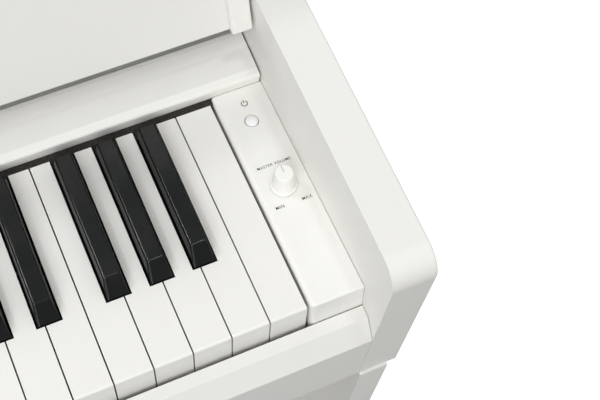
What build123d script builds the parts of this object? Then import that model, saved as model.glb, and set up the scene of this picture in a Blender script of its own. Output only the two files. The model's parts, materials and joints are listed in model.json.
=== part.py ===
from build123d import *
import math
import os

os.makedirs("parts", exist_ok=True)

# Slim upright digital piano on its stand, all sizes in millimetres.
# The shapes are laid out from the keyboard: x from its middle, y to the rear from the fronts
# of the white keys, z up from their tops. save() then moves each shape to the part's own frame,
# whose origin is on the floor under the middle of the piano, with +Z up and the player at -Y.

# Case
KEY_TOP_HEIGHT = 712.0       # white-key tops above the floor
FRONT_Y = -26.2              # foremost point of the arms
REAR_Y = 269.5
ARM_INNER = 646.7            # inner faces of the arms, from the middle
ARM_OUTER = 674.3
ARM_BOTTOM = -109.0
ARM_TOP_AT_KEYS = 61.2       # arm top over the key fronts
TOP_SLOPE = 0.0647           # rise of the arm tops towards the rear
FRONT_UNDERCUT = 0.0718      # slope of the arm fronts below their top corner
FRONT_TOP = (-27.3, 59.4)    # y, z where the arm's top and front lines meet
ARM_CORNER_R = 16.5
CASE_GAP = 0.3               # joint line between boards that meet
SLIP_BOTTOM = -106.8
KEYBED_TOP = -92.0
BOARD = 15.0

# Stand
LEG_INNER = 646.9
LEG_OUTER = 666.9
LEG_FRONT_TOP = -17.0
LEG_FRONT_BOTTOM = 24.0
FOOT_HEIGHT = 46.0
GLIDE_HEIGHT = 3.0

# Keyboard
WHITE_COUNT = 52
WHITE_PITCH = 23.5
HALF_KEYS = WHITE_COUNT * WHITE_PITCH / 2
KEY_GAP = 0.9
WHITE_LENGTH = 147.7
WHITE_DEPTH = 16.0
LIP_DEPTH = 32.0
BLACK_FRONT = 48.6
BLACK_HEIGHT = 12.0
BLACK_BASE = 13.7
BLACK_TOP = 10.4
BLACK_TOP_FRONT = 57.5
BLACK_REAR = 141.5
BLACK_ROUND = 1.5
NOTCH_GAP = 1.0
STICK_TOP = -3.0
STICK_END = 222.0
STICK_WIDTH = 10.0
PIVOT_Y = 210.0
PIVOT_Z = -10.0
PIVOT_R = 2.0
RUNNING_FIT = 0.06
FIRST_SOLO_KEY = 44          # the white keys from here up, and their sharps, move one by one
SHARP_OFFSETS = {"A": 3.0, "C": -2.6, "D": 2.6, "F": -3.0, "G": 0.0}

# Lid, laid out about its pivot: x along the piano, y up the panel, z out of its inner face
LID_PIVOT = (180.0, 62.0)
LID_LEAN = 72.0              # angle of the open panel above the horizontal
LID_INNER = 7.165            # pivot to inner face
LID_OUTER = -10.83           # pivot to outer face
LID_LENGTH = 205.4           # pivot to the front edge
LID_END_R = 21.3
LID_HALF = 646.0
LID_RAIL = 13.5
LID_PIN_R = 5.0
FLAP_WIDTH = 78.0
FLAP_DEPTH = 15.0
FLAP_CLEARANCE = 0.4
KNUCKLE_R = 2.0
KNUCKLE_GROOVE = 2.6
KNUCKLE_LENGTH = 24.0
LEDGE_HALF = 260.0
HINGE_LINE = (LID_LENGTH, LID_OUTER - FLAP_CLEARANCE)

# Controls on the end blocks
BLOCK_NEAR = 1.8             # gap from the last key to the block
BLOCK_WIDTH = 33.6
BLOCK_TOP = 0.5
BLOCK_BACK = 152.2
CONTROL_X = HALF_KEYS + 18.9
KNOB_Y = 78.5
KNOB_BASE_R = 8.25
KNOB_WAIST_R = 7.3
KNOB_TOP_R = 5.6
KNOB_FLANGE = 2.0
KNOB_HEIGHT = 15.2
SHAFT_R = 3.0
BUTTON_Y = 127.3
BUTTON_R = 4.0
BUTTON_HOLE_R = 4.4
SPEAKER_X = 450.0
SPEAKER_Y = 125.0

# Pedals, with heights above the floor
PEDAL_PITCH = 42.0
PEDAL_WIDTH = 24.0
PEDAL_PIVOT_Y = 185.0
PEDAL_PIVOT_HEIGHT = 62.0
PEDAL_FRONT = 46.0
PEDAL_THICKNESS = 8.0
PEDAL_ROD_R = 3.0
PEDAL_BOX_FRONT = 112.0
PEDAL_BOX_REAR = 206.0
PEDAL_BOX_HALF = 100.0
PEDAL_BOX_BOTTOM = 22.0
PEDAL_BOX_TOP = 92.0
WALL = 5.0

FLOOR = -KEY_TOP_HEIGHT
TO_PART = Pos(0, -(FRONT_Y + REAR_Y) / 2, KEY_TOP_HEIGHT)


def save(name, *solids):
    """Write one node, moved to the part's frame."""
    moved = [TO_PART * solid for solid in solids]
    shape = moved[0] if len(moved) == 1 else Compound(children=moved)
    export_step(shape, f"parts/{name}.step")


def block(x0, x1, y0, y1, z0, z1):
    """Box between two corners."""
    centre = Pos((x0 + x1) / 2, (y0 + y1) / 2, (z0 + z1) / 2)
    return centre * Box(x1 - x0, y1 - y0, z1 - z0)


def slab(points, x0, x1):
    """Board with its outline in y and z, running from x0 to x1."""
    outline = make_face(Polyline(*points, close=True))
    return Pos(x0, 0, 0) * extrude(Plane.YZ * outline, x1 - x0)


def rod(radius, x0, x1, y, z):
    """Round bar along x."""
    return Pos((x0 + x1) / 2, y, z) * Rot(0, 90, 0) * Cylinder(radius, x1 - x0)


def post(radius, x, y, z0, z1):
    """Upright round bar."""
    return Pos(x, y, (z0 + z1) / 2) * Cylinder(radius, z1 - z0)


def round_edges(shape, radius, *places):
    """Round the edges along x that pass through the given y, z places."""
    def chosen(edge):
        middle = edge.center()
        return any(math.dist((middle.Y, middle.Z), place) < 0.1 for place in places)
    return fillet([edge for edge in shape.edges().filter_by(Axis.X) if chosen(edge)], radius)


def mirrored(shape):
    return mirror(shape, Plane.YZ)


def top_at(y):
    """Height of the arm tops at y."""
    return ARM_TOP_AT_KEYS + TOP_SLOPE * y


def front_at(z):
    """Front line of the arms and of the key slip at z."""
    return FRONT_TOP[0] - (z - FRONT_TOP[1]) * FRONT_UNDERCUT


def lid_place(shape):
    """Move a shape from the lid's layout to its open place."""
    return Pos(0, *LID_PIVOT) * Rot(LID_LEAN, 0, 0) * shape


def pin_hole(x0, x1):
    return rod(LID_PIN_R + RUNNING_FIT, x0, x1, *LID_PIVOT)


def arm():
    """Right side board beside the keyboard, with a blind hole for the lid's pin."""
    outline = [
        FRONT_TOP,
        (front_at(ARM_BOTTOM), ARM_BOTTOM),
        (REAR_Y, ARM_BOTTOM),
        (REAR_Y, top_at(REAR_Y)),
    ]
    board = slab(outline, ARM_INNER, ARM_OUTER)
    board = round_edges(board, ARM_CORNER_R, FRONT_TOP)
    outer = board.faces().sort_by(Axis.X)[-1]
    board = fillet(outer.edges(), 1.2)
    return board - pin_hole(ARM_INNER - 1, ARM_INNER + 11)


def leg():
    outline = [
        (LEG_FRONT_TOP, ARM_BOTTOM),
        (LEG_FRONT_BOTTOM, FLOOR + FOOT_HEIGHT),
        (REAR_Y - 4, FLOOR + FOOT_HEIGHT),
        (REAR_Y - 4, ARM_BOTTOM),
    ]
    return slab(outline, LEG_INNER, LEG_OUTER)


def foot():
    top = FLOOR + FOOT_HEIGHT
    bottom = FLOOR + GLIDE_HEIGHT
    outline = [(-8, bottom), (-8, bottom + 24), (4, top), (REAR_Y, top), (REAR_Y, bottom)]
    body = slab(outline, LEG_INNER, LEG_OUTER + 2)
    return round_edges(body, 6, (-8, bottom + 24), (4, top))


def case():
    """Side boards, stand and the boards between them."""
    for side, flip in (("right", False), ("left", True)):
        for name, shape in (("arm", arm()), ("leg", leg())):
            save(f"{name}_{side}", mirrored(shape) if flip else shape)
    save("feet", foot(), mirrored(foot()))
    middle = (LEG_INNER + LEG_OUTER) / 2
    glides = [
        post(9, side * middle, y, FLOOR, FLOOR + GLIDE_HEIGHT)
        for side in (-1, 1)
        for y in (12, REAR_Y - 22)
    ]
    save("foot_glides", *glides)
    half = ARM_INNER - CASE_GAP
    slip = slab(
        [
            (-2.9, -22),
            (-10.5, -23.3),
            (front_at(-38.8), -38.8),
            (front_at(SLIP_BOTTOM), SLIP_BOTTOM),
            (-2.9, SLIP_BOTTOM),
        ],
        -half,
        half,
    )
    save("key_slip", round_edges(slip, 1.2, (-10.5, -23.3), (front_at(-38.8), -38.8)))
    keybed = block(-half, half, -2.6, 254.7, KEYBED_TOP - BOARD, KEYBED_TOP)
    for side in (-1, 1):
        keybed -= post(50, side * SPEAKER_X, SPEAKER_Y, KEYBED_TOP - 20, KEYBED_TOP + 1)
    save("keybed", keybed)
    top_front = 203.0
    thickness = BOARD
    top_board = slab(
        [
            (top_front, top_at(top_front)),
            (REAR_Y, top_at(REAR_Y)),
            (REAR_Y, top_at(REAR_Y) - thickness),
            (top_front, top_at(top_front) - thickness),
        ],
        -half,
        half,
    )
    save("rear_top_board", round_edges(top_board, 1.2, (top_front, top_at(top_front))))
    save("rear_panel", block(-half, half, 255, 267, KEYBED_TOP - BOARD, top_at(255) - BOARD - 0.5))
    stand_half = LEG_INNER - CASE_GAP
    save("back_board", block(-stand_half, stand_half, 226, 241, FLOOR + 130, FLOOR + 400))
    rail = block(-stand_half, stand_half, PEDAL_BOX_REAR + 0.3, 225, FLOOR + 24, FLOOR + 110)
    save("pedal_rail", rail)
    save("stand_brackets", *brackets())


def brackets():
    """Angle brackets that join the keybed to the legs."""
    result = []
    for side in (-1, 1):
        for y in (40, 190):
            low, high = sorted((side * (ARM_INNER - 3), side * ARM_INNER))
            upright = block(low, high, y, y + 40, -147, -107)
            low, high = sorted((side * (ARM_INNER - 40), side * ARM_INNER))
            flange = block(low, high, y, y + 40, -110, -107)
            result.append(upright + flange)
    return result


def cover_shelf():
    """Moulding behind the keys, with tabs down to the keybed beyond the keyboard's ends."""
    outline = [
        (152.6, -0.1),
        (151.1, 9.8),
        (156.4, 11.6),
        (180.5, 15.3),
        (183.4, 15.4),
        (183.4, 6.0),
        (200.0, 6.0),
        (200.0, 3.0),
        (183.4, 3.0),
        (183.4, -1.4),
        (180.4, -1.4),
        (180.4, 12.2),
        (157.6, 8.6),
        (155.4, 7.6),
        (155.6, -0.1),
    ]
    moulding = slab(outline, -HALF_KEYS - 34.5, HALF_KEYS + 34.5)
    moulding = round_edges(moulding, 2.2, (151.1, 9.8))
    for side in (-1, 1):
        low, high = sorted((side * (HALF_KEYS + 14), side * (HALF_KEYS + 22)))
        moulding += block(low, high, 166, 183.4, KEYBED_TOP, 12)
    save("cover_shelf", moulding)
    save("key_felt", block(-HALF_KEYS - 1, HALF_KEYS + 1, 148.4, 155.2, -2.4, -0.4))


def white_left(index):
    """Left edge of a white key."""
    return index * WHITE_PITCH - HALF_KEYS


def letter(index):
    return "ABCDEFG"[index % 7]


def octave(index):
    return (index + 5) // 7


def has_sharp(index):
    return letter(index) in SHARP_OFFSETS and index < WHITE_COUNT - 1


def sharp_centre(index):
    return white_left(index + 1) + SHARP_OFFSETS[letter(index)]


def key_stick(low, high):
    """Hidden rear part of a key, with its pivot hole."""
    middle = (low + high) / 2
    half = STICK_WIDTH / 2
    return block(middle - half, middle + half, 140, STICK_END, -WHITE_DEPTH, STICK_TOP)


def pivot_hole(x):
    return rod(PIVOT_R + RUNNING_FIT, x - 20, x + 20, PIVOT_Y, PIVOT_Z)


def white_key(index):
    low = white_left(index) + KEY_GAP / 2
    high = white_left(index + 1) - KEY_GAP / 2
    key = block(low, high, 0, WHITE_LENGTH, -WHITE_DEPTH, 0)
    key += block(low, high, 0, 5, -LIP_DEPTH, 0)
    key = round_edges(key, 1.6, (0, 0))
    notch = BLACK_BASE / 2 + NOTCH_GAP
    if has_sharp(index):
        centre = sharp_centre(index)
        key -= block(centre - notch, high + 1, BLACK_FRONT - NOTCH_GAP, 160, -30, 10)
        high = centre - notch
    if index > 0 and has_sharp(index - 1):
        centre = sharp_centre(index - 1)
        key -= block(low - 1, centre + notch, BLACK_FRONT - NOTCH_GAP, 160, -30, 10)
        low = centre + notch
    key += key_stick(low, high)
    return key - pivot_hole((low + high) / 2)


def black_key(index):
    centre = sharp_centre(index)
    half = BLACK_BASE / 2
    length = BLACK_REAR - BLACK_FRONT
    top_length = BLACK_REAR - BLACK_TOP_FRONT
    base_face = Pos(centre, BLACK_FRONT + length / 2, 0) * Rectangle(BLACK_BASE, length)
    top_y = BLACK_TOP_FRONT + top_length / 2
    top_face = Pos(centre, top_y, BLACK_HEIGHT) * Rectangle(BLACK_TOP, top_length)
    cap = loft([base_face.face(), top_face.face()])
    top_edges = cap.faces().sort_by(Axis.Z)[-1].edges().sort_by(Axis.Y)[:-1]
    slope_edges = cap.faces().sort_by(Axis.Y)[0].edges().sort_by(Axis.Z)[1:-1]
    cap = fillet(top_edges + slope_edges, BLACK_ROUND)
    body = block(centre - half, centre + half, BLACK_FRONT, WHITE_LENGTH, -WHITE_DEPTH, 0)
    key = cap + body + key_stick(centre - half, centre + half)
    return key - pivot_hole(centre)


def keys():
    """The top octave as single keys, the rest as two grouped sets."""
    whites = [white_key(index) for index in range(FIRST_SOLO_KEY)]
    blacks = [black_key(index) for index in range(FIRST_SOLO_KEY) if has_sharp(index)]
    save("white_keys_set", *whites)
    save("black_keys_set", *blacks)
    for index in range(FIRST_SOLO_KEY, WHITE_COUNT):
        name = letter(index).lower()
        save(f"key_{name}{octave(index)}", white_key(index))
        if has_sharp(index):
            save(f"key_{name}_sharp{octave(index)}", black_key(index))


def key_action():
    """Rails, pivot rod and contact strip under the keys."""
    end = HALF_KEYS + 8
    rail = block(-end, end, 200, 220, KEYBED_TOP, -22)
    for side in (-1, 1):
        low, high = sorted((side * (HALF_KEYS + 3), side * end))
        rail += block(low, high, 202, 218, -22, -3)
    rail -= rod(PIVOT_R + 0.02, -end - 1, end + 1, PIVOT_Y, PIVOT_Z)
    save("balance_rail", rail)
    save("balance_rod", rod(PIVOT_R, -end, end, PIVOT_Y, PIVOT_Z))
    save("front_rail", block(-HALF_KEYS, HALF_KEYS, 20, 34, KEYBED_TOP, -26))
    contact_rail = block(-HALF_KEYS, HALF_KEYS, 75, 105, -46, -38.4)
    for x in (-600, -300, 0, 300, 600):
        contact_rail += block(x - 8, x + 8, 75, 105, KEYBED_TOP, -46)
    save("contact_rail", contact_rail)
    save("contact_strip", block(-HALF_KEYS, HALF_KEYS, 85, 95, -38.4, -23.4))


def lid_panel():
    """Folding lid: round rear end about the pivot, mitred front end and hinge groove."""
    mitre = LID_LENGTH - 1.0
    depth = LID_INNER - LID_OUTER
    panel = slab(
        [
            (0, LID_INNER),
            (mitre - depth, LID_INNER),
            (mitre, LID_OUTER),
            (0, LID_OUTER),
        ],
        -LID_HALF,
        LID_HALF,
    )
    heel = rod(LID_END_R, -LID_HALF, LID_HALF, 0, 0)
    heel &= block(-LID_HALF, LID_HALF, -30, 0, LID_OUTER, LID_INNER)
    panel += heel
    panel -= rod(KNUCKLE_GROOVE, -LID_HALF - 1, LID_HALF + 1, *HINGE_LINE)
    for side in (-1, 1):
        low, high = sorted((side * (LID_HALF - 31), side * (LID_HALF + 1)))
        panel -= rod(LID_PIN_R, low, high, 0, 0)
    for x in leaf_places():
        panel -= mitre_leaf(x)
    return panel



def leaf_places():
    return (-540.0, -180.0, 180.0, 540.0)


def mitre_leaf(x):
    """Hinge leaf let into the lid's mitred face."""
    plate = Pos(0, -11.6, -0.9) * Box(3 * KNUCKLE_LENGTH, 20, 1.2)
    return Pos(x, *HINGE_LINE) * Rot(-45, 0, 0) * plate


def lid_leaves():
    """Leaves with an outer pair of knuckles and the pin, on the lid."""
    leaves = []
    for x in leaf_places():
        leaf = mitre_leaf(x)
        for side in (-1, 1):
            inner = x + side * (KNUCKLE_LENGTH / 2 + 0.3)
            outer = x + side * 1.5 * KNUCKLE_LENGTH
            low, high = sorted((inner, outer))
            leaf += rod(KNUCKLE_R, low, high, *HINGE_LINE)
        free = block(x - KNUCKLE_LENGTH / 2 - 0.3, x + KNUCKLE_LENGTH / 2 + 0.3, -3, 3, -3, 3)
        leaf -= Pos(0, *HINGE_LINE) * free
        leaf += rod(1.0, x - 1.4 * KNUCKLE_LENGTH, x + 1.4 * KNUCKLE_LENGTH, *HINGE_LINE)
        leaves.append(lid_place(leaf))
    return leaves


def flap_leaf(x):
    """Hinge leaf let into the flap's mitred face."""
    plate = Pos(0, -11.6, 0.6) * Box(KNUCKLE_LENGTH, 20, 1.2)
    return Pos(x, *HINGE_LINE) * Rot(45, 0, 0) * plate


def flap_leaves():
    leaves = []
    for x in leaf_places():
        half = KNUCKLE_LENGTH / 2
        leaf = flap_leaf(x) + rod(KNUCKLE_R, x - half, x + half, *HINGE_LINE)
        leaf -= rod(1.0 + RUNNING_FIT, x - half - 1, x + half + 1, *HINGE_LINE)
        leaves.append(lid_place(leaf))
    return leaves


def lid_flap():
    """Front flap, folded flat on the outer face of the open lid."""
    y, z = HINGE_LINE
    near = z - FLAP_CLEARANCE
    far = near - FLAP_DEPTH
    flap = slab(
        [
            (y - FLAP_CLEARANCE, near),
            (y - FLAP_CLEARANCE - FLAP_DEPTH, far),
            (y - FLAP_WIDTH, far),
            (y - FLAP_WIDTH, near),
        ],
        -LID_HALF,
        LID_HALF,
    )
    flap -= rod(KNUCKLE_GROOVE, -LID_HALF - 1, LID_HALF + 1, *HINGE_LINE)
    for x in leaf_places():
        flap -= flap_leaf(x)
    return round_edges(flap, 1.0, (y - FLAP_WIDTH, far), (y - FLAP_WIDTH, near))


def lid():
    save("lid_panel", lid_place(lid_panel()))
    save("lid_flap", lid_place(lid_flap()))
    save("lid_hinge_leaves", *lid_leaves())
    save("flap_hinge_leaves", *flap_leaves())
    side = LID_HALF - 0.8
    rail = block(side - LID_RAIL, side, -22, LID_LENGTH - 24, LID_INNER, LID_INNER + 5)
    rail = fillet(rail.edges().filter_by(Axis.Y).sort_by(Axis.Z)[-2:], 1.6)
    rail = fillet(rail.edges().filter_by(Axis.X).sort_by(Axis.Z)[-2:], 1.4)
    save("lid_rails", lid_place(rail), lid_place(mirrored(rail)))
    pin = rod(LID_PIN_R, LID_HALF - 30, ARM_INNER + 9.5, 0, 0)
    save("lid_pins", lid_place(pin), lid_place(mirrored(pin)))
    ledge = slab(
        [
            (44, LID_INNER),
            (44, LID_INNER + 28),
            (50, LID_INNER + 28),
            (50, LID_INNER + 25),
            (47.5, LID_INNER + 24),
            (47.5, LID_INNER),
        ],
        -LEDGE_HALF,
        LEDGE_HALF,
    )
    save("music_ledge", lid_place(ledge))


def end_block(has_knob):
    """Right end block: a plastic case, open below, with holes for its controls."""
    low = HALF_KEYS + BLOCK_NEAR
    high = low + BLOCK_WIDTH
    outline = [
        (-0.6, BLOCK_TOP),
        (-2.1, -22.4),
        (-2.1, KEYBED_TOP),
        (BLOCK_BACK, KEYBED_TOP),
        (BLOCK_BACK, BLOCK_TOP),
    ]
    case_block = slab(outline, low, high)
    case_block = round_edges(case_block, 1.6, (-0.6, BLOCK_TOP))
    left_edge = case_block.edges().filter_by(Axis.Y).sort_by(Axis.Z)[-2:].sort_by(Axis.X)[0]
    case_block = fillet(left_edge, 3.2)
    case_block -= block(low + 3, high - 3, 2, BLOCK_BACK - 3, KEYBED_TOP - 1, BLOCK_TOP - 3)
    case_block -= post(BUTTON_HOLE_R, CONTROL_X, BUTTON_Y, -10, 5)
    if has_knob:
        case_block -= post(SHAFT_R + 0.3, CONTROL_X, KNOB_Y, -10, 5)
    return case_block


def button():
    """Domed push button with its stem."""
    cap = Pos(CONTROL_X, BUTTON_Y, 0) * Cylinder(BUTTON_R, 3)
    cap += post(BUTTON_R, CONTROL_X, BUTTON_Y, 1.4, 2.0)
    dome = Pos(CONTROL_X, BUTTON_Y, -7.2) * Sphere(9.0)
    cap &= dome
    return cap + post(1.6, CONTROL_X, BUTTON_Y, -6.4, -1.0)


def switch():
    """Switch body under a button, on a bracket down to the keybed."""
    body = block(CONTROL_X - 6, CONTROL_X + 6, BUTTON_Y - 6, BUTTON_Y + 6, -18, -10)
    body += post(1.6, CONTROL_X, BUTTON_Y, -10.5, -8.2)
    return body + block(CONTROL_X - 3, CONTROL_X + 3, BUTTON_Y - 3, BUTTON_Y + 3, KEYBED_TOP, -18)


def volume_knob():
    """Tapered knob on a low round flange, with a groove for its pointer, and its shaft."""
    bottom = BLOCK_TOP + 0.5
    top = bottom + KNOB_HEIGHT
    waist = Pos(CONTROL_X, KNOB_Y, bottom) * Circle(KNOB_WAIST_R)
    crown = Pos(CONTROL_X, KNOB_Y, top) * Circle(KNOB_TOP_R)
    knob = loft([waist.face(), crown.face()])
    knob = fillet(knob.edges().filter_by(GeomType.CIRCLE).sort_by(Axis.Z)[-1], 0.8)
    flange = post(KNOB_BASE_R, CONTROL_X, KNOB_Y, bottom, bottom + KNOB_FLANGE)
    flange = fillet(flange.edges().filter_by(GeomType.CIRCLE).sort_by(Axis.Z)[-1], 0.9)
    knob += flange
    knob -= block(CONTROL_X - 0.35, CONTROL_X + 0.35, KNOB_Y + 0.6, KNOB_Y + 5.0, top - 0.4, top + 1)
    return knob + post(SHAFT_R, CONTROL_X, KNOB_Y, -16, bottom + 0.5)


def volume_pot():
    """Rotary control under the knob, on a bracket down to the keybed."""
    body = post(8.5, CONTROL_X, KNOB_Y, -20, -6)
    body += block(CONTROL_X - 4, CONTROL_X + 4, KNOB_Y - 4, KNOB_Y + 4, KEYBED_TOP, -19)
    return body - post(SHAFT_R + RUNNING_FIT, CONTROL_X, KNOB_Y, -16.5, 0)


def controls():
    save("end_block_right", end_block(True))
    save("end_block_left", mirrored(end_block(False)))
    save("power_button", button())
    save("voice_button", mirrored(button()))
    save("button_switches", switch(), mirrored(switch()))
    save("volume_knob", volume_knob())
    save("volume_pot", volume_pot())


def speaker():
    rim = post(60, SPEAKER_X, SPEAKER_Y, KEYBED_TOP, KEYBED_TOP + 4)
    wide = Pos(SPEAKER_X, SPEAKER_Y, KEYBED_TOP + 4) * Circle(55)
    narrow = Pos(SPEAKER_X, SPEAKER_Y, KEYBED_TOP + 28) * Circle(34)
    body = rim + loft([wide.face(), narrow.face()])
    body += post(36, SPEAKER_X, SPEAKER_Y, KEYBED_TOP + 28, KEYBED_TOP + 44)
    mouth = Pos(SPEAKER_X, SPEAKER_Y, KEYBED_TOP) * Circle(48)
    throat = Pos(SPEAKER_X, SPEAKER_Y, KEYBED_TOP + 22) * Circle(16)
    return body - loft([mouth.face(), throat.face()])


def grille():
    """Slotted cover under a speaker."""
    bottom = KEYBED_TOP - BOARD
    disc = post(60, SPEAKER_X, SPEAKER_Y, bottom - 2.5, bottom)
    for step in range(-5, 6):
        reach = math.sqrt(50 ** 2 - (step * 8) ** 2)
        y = SPEAKER_Y + step * 8
        disc -= block(SPEAKER_X - reach, SPEAKER_X + reach, y - 2, y + 2, bottom - 3, bottom + 1)
    return disc


def electronics():
    """Speakers, main board and sockets."""
    save("speakers", speaker(), mirrored(speaker()))
    save("speaker_grilles", grille(), mirrored(grille()))
    board = block(-200, -20, 115, 190, KEYBED_TOP + 6, KEYBED_TOP + 7.6)
    for x in (-194, -26):
        for y in (121, 184):
            board += post(3, x, y, KEYBED_TOP, KEYBED_TOP + 6.5)
    for x, y, width in ((-160, 150, 28), (-110, 140, 20), (-70, 160, 14)):
        board += block(x, x + width, y, y + width, KEYBED_TOP + 7, KEYBED_TOP + 10)
    save("main_board", board)
    bottom = KEYBED_TOP - BOARD
    jacks = block(-560, -500, 6, 50, bottom - 26, bottom)
    for x in (-545, -515):
        jacks -= Pos(x, 13, bottom - 13) * Rot(90, 0, 0) * Cylinder(3.25, 16)
    save("jack_box", jacks)
    inlet = block(-480, -444, 222, 252, bottom - 20, bottom)
    inlet -= Pos(-462, 247.5, bottom - 10) * Rot(90, 0, 0) * Cylinder(2.8, 11)
    save("power_inlet", inlet)


def pedal(x):
    """Pedal lever: rounded tread in front, arm back to its pivot."""
    z = FLOOR + PEDAL_PIVOT_HEIGHT
    half = PEDAL_WIDTH / 2
    low = z - PEDAL_THICKNESS / 2
    high = z + PEDAL_THICKNESS / 2
    tread = block(x - half, x + half, PEDAL_FRONT, PEDAL_PIVOT_Y + 8, low, high)
    corners = tread.edges().filter_by(Axis.Z).sort_by(Axis.Y)[:2]
    tread = fillet(corners, half - 1)
    tread = fillet(tread.faces().sort_by(Axis.Z)[-1].edges(), 1.8)
    tread += rod(7, x - half, x + half, PEDAL_PIVOT_Y, z)
    return tread - rod(PEDAL_ROD_R + RUNNING_FIT, x - 20, x + 20, PEDAL_PIVOT_Y, z)


def pedal_box():
    """Open-backed casing with a slot for each pedal and lugs for the pivot rod."""
    bottom = FLOOR + PEDAL_BOX_BOTTOM
    top = FLOOR + PEDAL_BOX_TOP
    half = PEDAL_BOX_HALF
    outer = block(-half, half, PEDAL_BOX_FRONT, PEDAL_BOX_REAR, bottom, top)
    outer = round_edges(outer, 5, (PEDAL_BOX_FRONT, top), (PEDAL_BOX_FRONT, bottom))
    outer -= block(
        -half + WALL,
        half - WALL,
        PEDAL_BOX_FRONT + WALL,
        PEDAL_BOX_REAR + 1,
        bottom + WALL,
        top - WALL,
    )
    z = FLOOR + PEDAL_PIVOT_HEIGHT
    for step in (-1, 0, 1):
        x = step * PEDAL_PITCH
        reach = PEDAL_WIDTH / 2 + 1.5
        outer -= block(x - reach, x + reach, PEDAL_BOX_FRONT - 1, PEDAL_BOX_FRONT + 9, z - 16, z + 6)
    for side in (-1, 1):
        low, high = sorted((side * 70, side * 76))
        lug = block(low, high, PEDAL_PIVOT_Y - 12, PEDAL_PIVOT_Y + 12, bottom + WALL - 0.5, z + 14)
        outer += lug
    outer -= rod(PEDAL_ROD_R + 0.02, -77, 77, PEDAL_PIVOT_Y, z)
    return outer - post(4 + RUNNING_FIT, 0, 150, bottom - 1, bottom + WALL + 1)


def pedals():
    save("pedal_box", pedal_box())
    z = FLOOR + PEDAL_PIVOT_HEIGHT
    save("pedal_rod", rod(PEDAL_ROD_R, -76, 76, PEDAL_PIVOT_Y, z))
    for step, name in ((-1, "soft"), (0, "sostenuto"), (1, "damper")):
        save(f"pedal_{name}", pedal(step * PEDAL_PITCH))
    wheel = post(15, 0, 150, FLOOR, FLOOR + 12)
    wheel = fillet(wheel.edges(), 1.5)
    save("pedal_adjuster", wheel + post(4, 0, 150, FLOOR + 10, FLOOR + PEDAL_BOX_BOTTOM + WALL + 5))


case()
cover_shelf()
keys()
key_action()
lid()
controls()
electronics()
pedals()
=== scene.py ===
import json
import math

import bmesh
import bpy
from mathutils import Matrix, Vector


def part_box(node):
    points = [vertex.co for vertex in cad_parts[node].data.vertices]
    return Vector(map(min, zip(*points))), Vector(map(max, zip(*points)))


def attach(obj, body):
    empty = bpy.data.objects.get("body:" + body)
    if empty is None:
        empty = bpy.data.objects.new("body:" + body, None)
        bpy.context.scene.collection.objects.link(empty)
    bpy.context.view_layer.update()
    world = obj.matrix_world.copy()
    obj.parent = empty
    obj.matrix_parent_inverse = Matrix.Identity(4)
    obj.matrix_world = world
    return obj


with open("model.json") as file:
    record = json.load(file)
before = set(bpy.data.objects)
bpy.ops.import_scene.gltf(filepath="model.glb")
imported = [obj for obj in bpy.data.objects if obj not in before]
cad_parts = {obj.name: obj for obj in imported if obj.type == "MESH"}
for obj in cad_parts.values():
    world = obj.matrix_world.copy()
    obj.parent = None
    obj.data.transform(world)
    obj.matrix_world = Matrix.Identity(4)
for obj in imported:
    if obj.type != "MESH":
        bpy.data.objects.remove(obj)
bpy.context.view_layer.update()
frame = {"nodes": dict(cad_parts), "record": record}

MM = 0.001
ROOT = "case"
UP = (0, 0, 1)
DOWN = (0, 0, -1)
FRONT = (0, -1, 0)
REAR = (0, 1, 0)

# Linear colours, darker first; each surface wanders between its two
WHITE_FOIL = (0.765, 0.76, 0.73, 1), (0.80, 0.795, 0.765, 1)
BARE_FOIL = (0.55, 0.53, 0.49, 1), (0.62, 0.60, 0.55, 1)
MOULDING = (0.82, 0.815, 0.785, 1), (0.85, 0.845, 0.815, 1)
KEY_WHITE = (0.80, 0.795, 0.765, 1), (0.83, 0.825, 0.795, 1)
BUTTON_WHITE = (0.86, 0.86, 0.87, 1), (0.90, 0.90, 0.91, 1)
BLACK = (0.012, 0.012, 0.013, 1), (0.02, 0.02, 0.021, 1)
LACQUER = (0.030, 0.032, 0.032, 1), (0.040, 0.042, 0.041, 1)
FELT = (0.010, 0.009, 0.008, 1), (0.045, 0.040, 0.034, 1)
WEAVE = (0.02, 0.02, 0.021, 1), (0.05, 0.05, 0.05, 1)
CIRCUIT = (0.01, 0.09, 0.04, 1), (0.015, 0.13, 0.06, 1)
PLATED = (0.45, 0.45, 0.46, 1), (0.6, 0.6, 0.61, 1)
STEEL = (0.5, 0.5, 0.51, 1), (0.66, 0.66, 0.67, 1)
NICKEL = (0.55, 0.54, 0.51, 1), (0.7, 0.69, 0.66, 1)
ZINC = (0.5, 0.5, 0.49, 1), (0.66, 0.66, 0.65, 1)
BRIGHT_ZINC = (0.5, 0.5, 0.5, 1), (0.66, 0.66, 0.66, 1)
BRASS = (0.62, 0.47, 0.22, 1), (0.78, 0.62, 0.32, 1)
TEXT_INK = (0.02, 0.02, 0.019, 1), (0.03, 0.03, 0.028, 1)
SYMBOL_INK = (0.03, 0.03, 0.03, 1), (0.045, 0.045, 0.045, 1)
MARK_INK = (0.56, 0.56, 0.56, 1), (0.62, 0.62, 0.62, 1)
STAGE_WHITE = (0.93, 0.93, 0.93, 1), (0.95, 0.95, 0.95, 1)
GROUND_GREY = (0.27, 0.27, 0.27, 1)
SKY_GREY = (0.60, 0.60, 0.60, 1)

# Past this y the white key colour is painted black as shade under the shelf
SHADED_STICK_START = 53 * MM       # y where the keys are out of sight under the shelf
EDGE_WIDTHS = {
    "white_board": 1.0 * MM,
    "plain_board": 0.5 * MM,
    "white_key": 0.45 * MM,
}
EDGE_SEGMENTS = 3
EDGE_ANGLE = math.radians(40)

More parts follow.
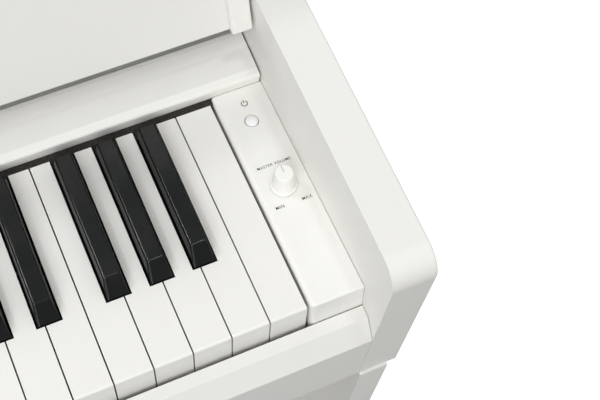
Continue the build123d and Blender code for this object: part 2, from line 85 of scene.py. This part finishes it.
# Printing on the right end block: name, text, offset from the knob's axis in x and y, size
PRINTS = (
    ("print_volume", "MASTER VOLUME", 0.6 * MM, 15.8 * MM, 2.6 * MM),
    ("print_min", "MIN", -7.8 * MM, -13.0 * MM, 3.0 * MM),
    ("print_max", "MAX", 9.8 * MM, -12.9 * MM, 2.9 * MM),
)
PRINT_LIFT = 0.02 * MM      # half the thickness of the lettering
PRINT_WEIGHT = 0.01 * MM
PRINT_SPACING = 1.12
SYMBOL_RADIUS = 1.9 * MM
SYMBOL_HEIGHT = 0.03 * MM
SYMBOL_RIGHT = 0.8 * MM     # from the knob's axis
SYMBOL_BEHIND = 13.5 * MM   # from the button's axis
SYMBOL_GAP = math.radians(35)

MARK_BEHIND = 2.8 * MM      # pointer line from the knob's axis
MARK_SINK = 0.36 * MM
MARK_HALF_LENGTH = 2.3 * MM
MARK_HALF_WIDTH = 0.45 * MM
MARK_DEPTH = 0.4 * MM

# Collars: inner radius, outer radius, height
BUTTON_RING = (4.4 * MM, 5.0 * MM, 0.5 * MM)
JACK_RING = (3.4 * MM, 5.2 * MM, 1.2 * MM)
INLET_RING = (3.0 * MM, 4.2 * MM, 1.0 * MM)
RING_SINK = 0.2 * MM
JACK_INSET = 15 * MM

# Screw head outline from the foot of the head: share of its radius, height
SCREW_RADIUS = 4.2 * MM
SCREW_PROFILE = (
    (0, 0), (1, 0), (1, 0.6 * MM), (0.92, 1.3 * MM), (0.7, 1.9 * MM),
    (0.42, 2.2 * MM), (0.40, 1.2 * MM), (0, 1.2 * MM),
)
BRACKET_PLATE = 3 * MM

TRIM_SLOT_X = 13.6 * MM     # half width of a pedal slot
TRIM_SLOT_Z = 11.1 * MM
TRIM_SLOT_MIDDLE = 57 * MM
TRIM_CORNER = 1.5 * MM
TRIM_BORDER = 2.4 * MM
TRIM_DEPTH = 1.6 * MM
TRIM_CHAMFER = 0.5 * MM

# Floor disc, and the wall that curves up from its rim: radius, height
FLOOR_PROFILE = ((0, 0), (5, 0), (9, 0))
BACKDROP_PROFILE = ((9, 0), (10.5, 0.3), (11.6, 1.1), (12.2, 2.4), (12.4, 4.0), (12.4, 12.0))
FLOOR_GLOW = 0.42
BACKDROP_GLOW = 0.62

# Lights: name, place, aim, width and height, watts
KEYS = (0.4, -0.05, 0.72)
LIGHTS = (
    ("key_light", (-1.0, -2.0, 3.0), (0.3, 0.0, 0.75), (2.2, 2.2), 53),
    ("front_light", (-1.2, -3.2, 1.7), (0.2, 0.0, 0.8), (2.0, 2.0), 22),
    ("back_light", (-0.4, 3.4, 1.5), (0.0, 0.0, 0.55), (2.0, 1.4), 26),
    ("edge_light", (-0.85, 1.2, 3.1), KEYS, (0.2, 0.2), 11),
    ("top_light", (0.95, -0.2, 3.2), KEYS, (0.2, 0.2), 6),
)

CAMERA_PLACE = (0.4653, -0.36015, 1.3732)
CAMERA_YAW = math.radians(29.18)
CAMERA_PITCH = math.radians(62.21)
CAMERA_ROLL = math.radians(5.81)
CAMERA_SENSOR = 36.0
CAMERA_LENS = 74.86


# ---------------------------------------------------------------- materials

def new_material(name, roughness, metallic=0.0, specular=0.5, coat=0.0):
    """Material with its shader, object coordinates and node links at hand."""
    mat = bpy.data.materials.new(name)
    mat.use_nodes = True
    nodes = mat.node_tree.nodes
    links = mat.node_tree.links
    shader = nodes["Principled BSDF"]
    shader.inputs["Roughness"].default_value = roughness
    shader.inputs["Metallic"].default_value = metallic
    shader.inputs["Specular IOR Level"].default_value = specular
    shader.inputs["Coat Weight"].default_value = coat
    coords = nodes.new("ShaderNodeTexCoord")
    return mat, nodes, links, shader, coords


def noise(nodes, links, coords, scale, detail=4.0, stretch=(1, 1, 1)):
    """Noise fixed to the object; a stretch below one draws it out along that axis."""
    mapping = nodes.new("ShaderNodeMapping")
    mapping.inputs["Scale"].default_value = stretch
    links.new(coords.outputs["Object"], mapping.inputs["Vector"])
    tex = nodes.new("ShaderNodeTexNoise")
    tex.inputs["Scale"].default_value = scale
    tex.inputs["Detail"].default_value = detail
    links.new(mapping.outputs["Vector"], tex.inputs["Vector"])
    return tex.outputs["Fac"]


def colour_ramp(nodes, links, source, tones, start=0.35, end=0.65):
    """Colour that runs through the two tones as the source goes from start to end."""
    ramp = nodes.new("ShaderNodeValToRGB")
    for element, tone, position in zip(ramp.color_ramp.elements, tones, (start, end)):
        element.position = position
        element.color = tone
    links.new(source, ramp.inputs["Fac"])
    return ramp.outputs["Color"]


def add_bump(nodes, links, shader, source, strength, distance):
    """Fine relief that follows the source."""
    bump = nodes.new("ShaderNodeBump")
    bump.inputs["Strength"].default_value = strength
    bump.inputs["Distance"].default_value = distance
    links.new(source, bump.inputs["Height"])
    links.new(bump.outputs["Normal"], shader.inputs["Normal"])


def vary_roughness(nodes, links, shader, source, low, high):
    """Roughness that follows the source between two values."""
    spread = nodes.new("ShaderNodeMapRange")
    spread.inputs["To Min"].default_value = low
    spread.inputs["To Max"].default_value = high
    links.new(source, spread.inputs["Value"])
    links.new(spread.outputs["Result"], shader.inputs["Roughness"])


def mottled(name, tones, roughness, scale, bump, **shader_values):
    """Two close colours in soft patches, with a fine bump and uneven gloss."""
    mat, nodes, links, shader, coords = new_material(name, roughness, **shader_values)
    patches = noise(nodes, links, coords, 6.0, 3.0)
    links.new(colour_ramp(nodes, links, patches, tones), shader.inputs["Base Color"])
    grain = noise(nodes, links, coords, scale, 5.0)
    add_bump(nodes, links, shader, grain, bump, 0.4 * MM)
    vary_roughness(nodes, links, shader, grain, roughness - 0.06, roughness + 0.06)
    return mat


def board_paint(name, tones, roughness):
    """Foil over board: a faint wood pore along x and soft patches."""
    mat, nodes, links, shader, coords = new_material(name, roughness, specular=0.45)
    patches = noise(nodes, links, coords, 3.0, 3.0)
    links.new(colour_ramp(nodes, links, patches, tones), shader.inputs["Base Color"])
    pores = noise(nodes, links, coords, 260.0, 6.0, (0.12, 1, 1))
    peel = noise(nodes, links, coords, 900.0, 2.0)
    relief = nodes.new("ShaderNodeMath")
    relief.operation = "ADD"
    links.new(pores, relief.inputs[0])
    links.new(peel, relief.inputs[1])
    add_bump(nodes, links, shader, relief.outputs["Value"], 0.10, 0.2 * MM)
    vary_roughness(nodes, links, shader, pores, roughness - 0.05, roughness + 0.07)
    return mat


def white_key_with_painted_shade():
    """White key plastic with painted shade: black along the stick that runs on behind the
    cover shelf, where the shelf shades it.
    """
    mat = mottled("white_key_plastic_painted_shade", KEY_WHITE, 0.30, 900.0, 0.05, coat=0.15)
    nodes = mat.node_tree.nodes
    links = mat.node_tree.links
    base_colour = nodes["Principled BSDF"].inputs["Base Color"]
    playing_colour = base_colour.links[0].from_socket
    coords = nodes.new("ShaderNodeTexCoord")
    place = nodes.new("ShaderNodeSeparateXYZ")
    links.new(coords.outputs["Object"], place.inputs["Vector"])
    # Painted shade: past the stick start, under the shelf, the key colour is swapped for black
    behind = nodes.new("ShaderNodeMath")
    behind.operation = "GREATER_THAN"
    behind.inputs[1].default_value = SHADED_STICK_START
    links.new(place.outputs["Y"], behind.inputs[0])
    mix = nodes.new("ShaderNodeMixRGB")
    links.new(behind.outputs["Value"], mix.inputs["Fac"])
    links.new(playing_colour, mix.inputs["Color1"])
    mix.inputs["Color2"].default_value = BLACK[1]
    links.new(mix.outputs["Color"], base_colour)
    return mat


def brushed_metal(name, tones, roughness, stretch):
    """Bare metal with fine streaks along the axis that the stretch draws out."""
    mat, nodes, links, shader, coords = new_material(name, roughness, metallic=1.0)
    streaks = noise(nodes, links, coords, 300.0, 6.0, stretch)
    links.new(colour_ramp(nodes, links, streaks, tones), shader.inputs["Base Color"])
    vary_roughness(nodes, links, shader, streaks, roughness - 0.08, roughness + 0.1)
    add_bump(nodes, links, shader, streaks, 0.06, 0.2 * MM)
    return mat


def black_lacquer():
    """Dark lacquer whose edge tint keeps its reflections dim at low angles."""
    mat, nodes, links, shader, coords = new_material("black_key_lacquer", 0.2, metallic=1.0)
    patches = noise(nodes, links, coords, 30.0, 3.0)
    links.new(colour_ramp(nodes, links, patches, LACQUER), shader.inputs["Base Color"])
    shader.inputs["Specular Tint"].default_value = (0.5, 0.5, 0.5, 1)
    grain = noise(nodes, links, coords, 1400.0)
    add_bump(nodes, links, shader, grain, 0.02, 0.2 * MM)
    vary_roughness(nodes, links, shader, grain, 0.16, 0.24)
    return mat


def felt_material():
    """Dark matt cloth with short fibres."""
    mat, nodes, links, shader, coords = new_material("felt_cloth", 0.95, specular=0.1)
    fibres = noise(nodes, links, coords, 1800.0, 8.0, (0.4, 1, 1))
    links.new(colour_ramp(nodes, links, fibres, FELT), shader.inputs["Base Color"])
    add_bump(nodes, links, shader, fibres, 0.7, 0.6 * MM)
    shader.inputs["Sheen Weight"].default_value = 0.3
    return mat


def woven_grille():
    """Black speaker cover with a fine open weave."""
    mat, nodes, links, shader, coords = new_material("grille_weave", 0.6)
    cells = nodes.new("ShaderNodeTexVoronoi")
    cells.inputs["Scale"].default_value = 700.0
    links.new(coords.outputs["Object"], cells.inputs["Vector"])
    weave = cells.outputs["Distance"]
    links.new(colour_ramp(nodes, links, weave, WEAVE, 0.2, 0.6), shader.inputs["Base Color"])
    add_bump(nodes, links, shader, weave, 0.6, 0.8 * MM)
    return mat


# Surfaces by material slot. Board and metal: name, tones, roughness, stretch of the streaks.
# Mottled: name, tones, roughness, scale of the grain, strength of its bump.
MATERIALS = {
    "white_board": board_paint("white_board_foil", WHITE_FOIL, 0.42),
    "plain_board": board_paint("plain_board_foil", BARE_FOIL, 0.6),
    "white_moulding": mottled("white_moulding", MOULDING, 0.40, 1500.0, 0.16),
    # White keys carry painted shade on the stick under the shelf
    "white_key": white_key_with_painted_shade(),
    "black_key": black_lacquer(),
    "felt": felt_material(),
    "contact_rubber": mottled("contact_rubber", BLACK, 0.8, 700.0, 0.3),
    "glide_rubber": mottled("glide_rubber", BLACK, 0.85, 900.0, 0.4),
    "adjuster_plastic": mottled("adjuster_plastic", BLACK, 0.5, 900.0, 0.3),
    "knob_plastic": mottled("knob_plastic", MOULDING, 0.34, 1800.0, 0.10),
    "button_plastic": mottled("button_plastic", BUTTON_WHITE, 0.18, 900.0, 0.03, coat=0.5),
    "dark_plastic": mottled("dark_plastic", BLACK, 0.5, 900.0, 0.3),
    "control_metal": brushed_metal("control_metal", PLATED, 0.4, (1, 1, 8)),
    "speaker_black": mottled("speaker_black", BLACK, 0.45, 500.0, 0.2),
    "grille_black": woven_grille(),
    "circuit_board": mottled("circuit_board", CIRCUIT, 0.4, 300.0, 0.3),
    "steel": brushed_metal("steel_bar", STEEL, 0.3, (0.05, 1, 1)),
    "hinge_metal": brushed_metal("hinge_nickel", NICKEL, 0.34, (0.05, 1, 1)),
    "bracket_steel": brushed_metal("bracket_zinc", ZINC, 0.45, (1, 1, 0.3)),
    "pedal_metal": brushed_metal("pedal_brass", BRASS, 0.22, (1, 0.05, 1)),
}
PRINT_GREY = mottled("print_grey", TEXT_INK, 0.5, 900.0, 0.02)
MARK_GREY = mottled("mark_grey", MARK_INK, 0.4, 900.0, 0.02)
PRINT_DARK = mottled("print_dark", SYMBOL_INK, 0.5, 900.0, 0.02)
SCREW_METAL = brushed_metal("screw_zinc", BRIGHT_ZINC, 0.32, (1, 1, 1))


def soften(obj, width):
    """Small rounded edges on a CAD node."""
    bevel = obj.modifiers.new("edge", "BEVEL")
    bevel.width = width
    bevel.segments = EDGE_SEGMENTS
    bevel.limit_method = "ANGLE"
    bevel.angle_limit = EDGE_ANGLE


def dress_cad():
    """Materials and soft edges on the carried-over CAD nodes."""
    slots = {entry["node"]: entry["material_slot"] for entry in frame["record"]["subparts"]}
    for name, obj in frame["nodes"].items():
        slot = slots[name]
        obj.data.materials.clear()
        obj.data.materials.append(MATERIALS[slot])
        if slot in EDGE_WIDTHS:
            soften(obj, EDGE_WIDTHS[slot])


# ---------------------------------------------------------------- pieces

def add_piece(name, mesh, body, material):
    """Object from a mesh, carried by the body and made of the slot's material."""
    obj = bpy.data.objects.new(name, mesh)
    bpy.context.collection.objects.link(obj)
    obj.data.materials.append(material)
    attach(obj, body)


def mesh_from(bm, name):
    """Mesh with its faces turned outward; the working mesh is freed."""
    mesh = bpy.data.meshes.new(name)
    bmesh.ops.recalc_face_normals(bm, faces=bm.faces)
    bm.to_mesh(mesh)
    bm.free()
    return mesh


def middle(box):
    """Centre of a box given by its low and high corners."""
    low, high = box
    return Vector([(start + end) / 2 for start, end in zip(low, high)])


def facing(centre, normal):
    """Placement at the centre with the local z axis along the normal."""
    turn = Vector(UP).rotation_difference(Vector(normal)).to_matrix().to_4x4()
    return Matrix.Translation(centre) @ turn


def spaced(start, end, inset, count):
    """Even places between two ends, the outer ones one inset away from them."""
    length = end - start - 2 * inset
    return [start + inset + length * index / (count - 1) for index in range(count)]


def bridge(bm, ring, after):
    """Band of faces between two rings with as many points."""
    for index in range(len(ring)):
        nxt = (index + 1) % len(ring)
        bm.faces.new((ring[index], after[index], after[nxt], ring[nxt]))


def lathe(bm, profile, place, steps):
    """Surface turned about z through (radius, height) points; a zero radius closes it."""
    rings = []
    for radius, height in profile:
        if radius < 1e-9:
            rings.append([bm.verts.new(place @ Vector((0, 0, height)))])
            continue
        ring = []
        for step in range(steps):
            angle = 2 * math.pi * step / steps
            point = Vector((radius * math.cos(angle), radius * math.sin(angle), height))
            ring.append(bm.verts.new(place @ point))
        rings.append(ring)
    for lower, upper in zip(rings, rings[1:]):
        for step in range(steps):
            after = (step + 1) % steps
            corners = [
                lower[step % len(lower)],
                lower[after % len(lower)],
                upper[after % len(upper)],
                upper[step % len(upper)],
            ]
            unique = list(dict.fromkeys(corners))
            if len(unique) > 2:
                bm.faces.new(unique)


def label(name, text, centre, size, material):
    """Flat print on the end block, read from the player's side."""
    curve = bpy.data.curves.new(name, "FONT")
    curve.body = text
    curve.size = size
    curve.align_x = "CENTER"
    curve.align_y = "CENTER"
    curve.extrude = PRINT_LIFT
    curve.offset = PRINT_WEIGHT
    curve.space_character = PRINT_SPACING
    source = bpy.data.objects.new(name + "_source", curve)
    bpy.context.collection.objects.link(source)
    depsgraph = bpy.context.evaluated_depsgraph_get()
    mesh = bpy.data.meshes.new_from_object(source.evaluated_get(depsgraph))
    bpy.data.objects.remove(source)
    mesh.transform(Matrix.Translation(centre))
    add_piece(name, mesh, ROOT, material)


def power_symbol(name, centre, radius, material):
    """Open ring with a short bar, printed behind its button."""
    bm = bmesh.new()
    width = 0.28 * radius
    section = (
        (radius - width / 2, 0), (radius + width / 2, 0),
        (radius + width / 2, SYMBOL_HEIGHT), (radius - width / 2, SYMBOL_HEIGHT),
    )
    steps = 36
    rows = []
    for step in range(steps + 1):
        angle = math.pi / 2 + SYMBOL_GAP + (2 * math.pi - 2 * SYMBOL_GAP) * step / steps
        direction = Vector((math.cos(angle), math.sin(angle), 0))
        points = [centre + direction * reach + Vector((0, 0, lift)) for reach, lift in section]
        rows.append([bm.verts.new(point) for point in points])
    for row, after in zip(rows, rows[1:]):
        bridge(bm, row, after)
    bm.faces.new(rows[0])
    bm.faces.new(rows[-1][::-1])
    bar_middle = centre + Vector((0, radius * 0.75, SYMBOL_HEIGHT / 2))
    bar_size = Matrix.Diagonal((width, radius * 1.1, SYMBOL_HEIGHT, 1))
    bmesh.ops.create_cube(bm, size=1.0, matrix=Matrix.Translation(bar_middle) @ bar_size)
    add_piece(name, mesh_from(bm, name), ROOT, material)


def screw_head(name, centre, normal):
    """Domed screw head with a cross recess."""
    bm = bmesh.new()
    place = facing(centre, normal)
    lathe(bm, [(share * SCREW_RADIUS, height) for share, height in SCREW_PROFILE], place, 28)
    arm_size = Matrix.Diagonal((SCREW_RADIUS * 0.74, SCREW_RADIUS * 0.16, 0.8 * MM, 1))
    arm_lift = Matrix.Translation((0, 0, 1.4 * MM))
    for quarter in range(2):
        turn = Matrix.Rotation(quarter * math.pi / 2, 4, "Z")
        bmesh.ops.create_cube(bm, size=1.0, matrix=place @ turn @ arm_lift @ arm_size)
    add_piece(name, mesh_from(bm, name), ROOT, SCREW_METAL)


def ring_piece(name, centre, normal, size, material):
    """Rounded collar about a hole; size is inner radius, outer radius and height."""
    inner, outer, height = size
    bm = bmesh.new()
    place = facing(centre, normal)
    steps = 48
    around = 10
    rings = []
    for step in range(steps):
        angle = 2 * math.pi * step / steps
        ring = []
        for part in range(around):
            phase = 2 * math.pi * part / around
            reach = (inner + outer) / 2 + (outer - inner) / 2 * math.cos(phase)
            lift = height / 2 + height / 2 * math.sin(phase)
            point = Vector((reach * math.cos(angle), reach * math.sin(angle), lift))
            ring.append(bm.verts.new(place @ point))
        rings.append(ring)
    for ring, after in zip(rings, rings[1:] + rings[:1]):
        bridge(bm, ring, after)
    mesh = mesh_from(bm, name)
    for face in mesh.polygons:
        face.use_smooth = True
    add_piece(name, mesh, ROOT, material)


def knob_mark(centre):
    """Round-ended pointer line set into the top of the knob."""
    bm = bmesh.new()
    steps = 10
    outline = []
    for end, start in ((1, 0), (-1, math.pi)):
        for step in range(steps + 1):
            angle = start + math.pi * step / steps
            x = MARK_HALF_WIDTH * math.cos(angle)
            y = end * (MARK_HALF_LENGTH - MARK_HALF_WIDTH) + MARK_HALF_WIDTH * math.sin(angle)
            outline.append(centre + Vector((x, y, 0)))
    lower = [bm.verts.new(point) for point in outline]
    upper = [bm.verts.new(point + Vector((0, 0, MARK_DEPTH))) for point in outline]
    bm.faces.new(lower[::-1])
    bm.faces.new(upper)
    bridge(bm, lower, upper)
    add_piece("knob_mark", mesh_from(bm, "knob_mark"), "volume_knob", MARK_GREY)


def controls():
    """Printed marks, rings about the buttons and the knob's pointer line."""
    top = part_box("end_block_right")[1][2]
    knob_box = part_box("volume_knob")
    knob = middle(knob_box)
    button_y = middle(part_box("power_button"))[1]
    for name, text, across, along, size in PRINTS:
        centre = Vector((knob[0] + across, knob[1] + along, top + PRINT_LIFT))
        label(name, text, centre, size, PRINT_GREY)
    symbol = Vector((knob[0] + SYMBOL_RIGHT, button_y + SYMBOL_BEHIND, top + PRINT_LIFT))
    power_symbol("print_power", symbol, SYMBOL_RADIUS, PRINT_DARK)
    voice = middle(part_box("voice_button"))
    moulding = MATERIALS["white_moulding"]
    for name, x in (("power_ring", knob[0]), ("voice_ring", voice[0])):
        centre = Vector((x, button_y, top - RING_SINK))
        ring_piece(name, centre, UP, BUTTON_RING, moulding)
    knob_mark(Vector((knob[0], knob[1] + MARK_BEHIND, knob_box[1][2] - MARK_SINK)))


def back_screws():
    """Screws through the rear panel, the stand boards and the brackets."""
    low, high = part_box("rear_panel")
    for index, x in enumerate(spaced(low[0], high[0], 30 * MM, 7)):
        for row, z in enumerate(spaced(low[2], high[2], 12 * MM, 2)):
            screw_head(f"rear_screw_{row}_{index}", (x, high[1], z), REAR)
    low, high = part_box("back_board")
    for side, x in enumerate(spaced(low[0], high[0], 25 * MM, 2)):
        for row, z in enumerate(spaced(low[2], high[2], 30 * MM, 3)):
            screw_head(f"back_screw_{side}_{row}", (x, high[1], z), REAR)
    low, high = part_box("pedal_rail")
    for side, x in enumerate(spaced(low[0], high[0], 25 * MM, 2)):
        screw_head(f"rail_screw_{side}", (x, high[1], (low[2] + high[2]) / 2), REAR)
    low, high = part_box("stand_brackets")
    for side, x in enumerate(spaced(low[0], high[0], 22 * MM, 2)):
        for row, y in enumerate(spaced(low[1], high[1], 20 * MM, 2)):
            screw_head(f"bracket_screw_{side}_{row}", (x, y, high[2] - BRACKET_PLATE), DOWN)


def rounded_outline(half_x, half_z, radius, steps=6):
    """Points round a rectangle with rounded corners, in the x-z plane."""
    points = []
    for corner, (sign_x, sign_z) in enumerate(((1, 1), (-1, 1), (-1, -1), (1, -1))):
        for step in range(steps + 1):
            angle = math.pi / 2 * (corner + step / steps)
            x = sign_x * (half_x - radius) + radius * math.cos(angle)
            z = sign_z * (half_z - radius) + radius * math.sin(angle)
            points.append(Vector((x, 0, z)))
    return points


def pedal_trims():
    """Rubber frames round the three pedal slots, chamfered towards the front."""
    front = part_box("pedal_box")[0][1]
    layers = (
        (0, 0), (0, TRIM_DEPTH - TRIM_CHAMFER), (TRIM_CHAMFER, TRIM_DEPTH),
        (TRIM_BORDER - TRIM_CHAMFER, TRIM_DEPTH), (TRIM_BORDER, TRIM_DEPTH - TRIM_CHAMFER),
        (TRIM_BORDER, 0),
    )
    for pedal in ("soft", "sostenuto", "damper"):
        centre = Vector((middle(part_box("pedal_" + pedal))[0], front, TRIM_SLOT_MIDDLE))
        bm = bmesh.new()
        rings = []
        for outward, forward in layers:
            outline = rounded_outline(
                TRIM_SLOT_X + outward, TRIM_SLOT_Z + outward, TRIM_CORNER + outward,
            )
            shift = centre - Vector((0, forward, 0))
            rings.append([bm.verts.new(shift + point) for point in outline])
        for ring, after in zip(rings, rings[1:] + rings[:1]):
            bridge(bm, ring, after)
        name = "pedal_trim_" + pedal
        add_piece(name, mesh_from(bm, name), ROOT, MATERIALS["glide_rubber"])


def sockets():
    """Metal collars about the phones jacks and the power inlet."""
    low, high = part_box("jack_box")
    z = (low[2] + high[2]) / 2
    for index, x in enumerate(spaced(low[0], high[0], JACK_INSET, 2)):
        centre = Vector((x, low[1] + RING_SINK, z))
        ring_piece(f"jack_ring_{index}", centre, FRONT, JACK_RING, SCREW_METAL)
    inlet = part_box("power_inlet")
    centre = middle(inlet)
    centre[1] = inlet[1][1] - RING_SINK
    ring_piece("inlet_ring", centre, REAR, INLET_RING, SCREW_METAL)


# ---------------------------------------------------------------- stage

def area_light(name, place, target, size, power):
    """Soft rectangular light aimed at the target."""
    light = bpy.data.lights.new(name, "AREA")
    light.shape = "RECTANGLE"
    light.size = size[0]
    light.size_y = size[1]
    light.energy = power
    obj = bpy.data.objects.new(name, light)
    obj.location = place
    aim = Vector(target) - Vector(place)
    obj.rotation_euler = aim.to_track_quat("-Z", "Y").to_euler()
    bpy.context.collection.objects.link(obj)


def staging(name, profile, glow):
    """Round pale surface about the piano that glows a little and throws no light on it."""
    mat = mottled(name + "_white", STAGE_WHITE, 0.9, 40.0, 0.02, specular=0.1)
    shader = mat.node_tree.nodes["Principled BSDF"]
    shader.inputs["Emission Color"].default_value = (1, 1, 1, 1)
    shader.inputs["Emission Strength"].default_value = glow
    bm = bmesh.new()
    lathe(bm, profile, Matrix.Identity(4), 96)
    surface = bpy.data.objects.new(name, mesh_from(bm, name))
    surface.data.materials.append(mat)
    bpy.context.collection.objects.link(surface)
    surface.visible_diffuse = False
    surface.visible_glossy = False


def sky():
    """Pale sky over a dimmer ground."""
    world = bpy.data.worlds.new("studio")
    bpy.context.scene.world = world
    world.use_nodes = True
    nodes = world.node_tree.nodes
    links = world.node_tree.links
    direction = nodes.new("ShaderNodeTexCoord")
    split = nodes.new("ShaderNodeSeparateXYZ")
    links.new(direction.outputs["Generated"], split.inputs["Vector"])
    colour = colour_ramp(nodes, links, split.outputs["Z"], (GROUND_GREY, SKY_GREY), 0.0, 0.25)
    links.new(colour, nodes["Background"].inputs["Color"])


def stage():
    """Pale floor curving up into a pale backdrop, soft lights and sky."""
    staging("floor", FLOOR_PROFILE, FLOOR_GLOW)
    staging("backdrop", BACKDROP_PROFILE, BACKDROP_GLOW)
    sky()
    for light in LIGHTS:
        area_light(*light)
    bpy.context.scene.view_settings.view_transform = "Standard"


def camera():
    """View down over the right end of the keyboard."""
    forward = Vector((
        math.sin(CAMERA_YAW) * math.cos(CAMERA_PITCH),
        math.cos(CAMERA_YAW) * math.cos(CAMERA_PITCH),
        -math.sin(CAMERA_PITCH),
    ))
    level = Vector((math.cos(CAMERA_YAW), -math.sin(CAMERA_YAW), 0))
    upward = level.cross(forward)
    right = math.cos(CAMERA_ROLL) * level + math.sin(CAMERA_ROLL) * upward
    up = -math.sin(CAMERA_ROLL) * level + math.cos(CAMERA_ROLL) * upward
    data = bpy.data.cameras.new("camera")
    data.sensor_width = CAMERA_SENSOR
    data.lens = CAMERA_LENS
    obj = bpy.data.objects.new("camera", data)
    axes = Matrix((right, up, -forward)).transposed().to_4x4()
    obj.matrix_world = Matrix.Translation(CAMERA_PLACE) @ axes
    bpy.context.collection.objects.link(obj)
    bpy.context.scene.camera = obj


dress_cad()
controls()
back_screws()
pedal_trims()
sockets()
stage()
camera()
